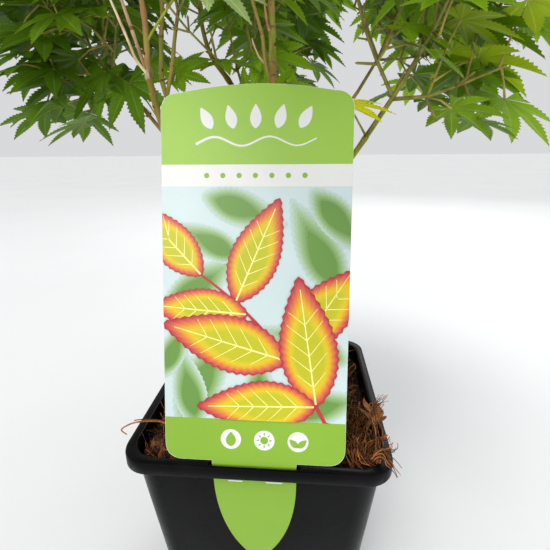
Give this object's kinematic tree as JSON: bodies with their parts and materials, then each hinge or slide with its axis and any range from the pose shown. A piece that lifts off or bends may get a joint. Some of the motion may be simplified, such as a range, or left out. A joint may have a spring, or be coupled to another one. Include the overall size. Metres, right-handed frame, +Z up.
{
  "type": "potted japanese maple",
  "caption": "Young japanese maple with palmate leaves on thin upright boughs, in a square plastic nursery pot with a plain folded plant label.",
  "frame": {"origin": "centre of the pot's flat underside", "axes": "+Z up, -Y towards the side with the label, +X to the right of it"},
  "size_m": [0.2738, 0.2801, 0.4665],
  "materials": {
    "pot": "satin black, moulded",
    "potting_mix": "moist bark and coir",
    "label": "printed satin sheet",
    "bark": "smooth young bark",
    "green_bark": "smooth green bark",
    "dead_wood": "dry bleached wood",
    "foliage": "soft satin leaf"
  },
  "bodies": {
    "root": {"pot": "pot", "potting_mix": "potting_mix", "plant_label": "label", "trunk": "bark", "bough_left": "bark", "bough_inner_left": "bark", "bough_fork": "bark", "bough_diagonal": "bark", "bough_middle": "bark", "bough_right_high": "bark", "bough_front": "bark", "bough_right": "bark", "bough_back": "bark", "bough_back_right": "bark", "bough_low_left": "bark", "shoot_middle": "green_bark", "shoot_low": "green_bark", "shoot_left": "green_bark", "dead_twig_long": "dead_wood", "dead_twig_short": "dead_wood", "leaves_left": "foliage", "leaves_inner_left": "foliage", "leaves_fork": "foliage", "leaves_low_middle": "foliage", "leaves_diagonal": "foliage", "leaves_top": "foliage", "leaves_right_high": "foliage", "leaves_front": "foliage", "leaves_right": "foliage", "leaves_back": "foliage", "leaves_back_right": "foliage", "leaves_low_left": "foliage"}
  },
  "joints": []
}
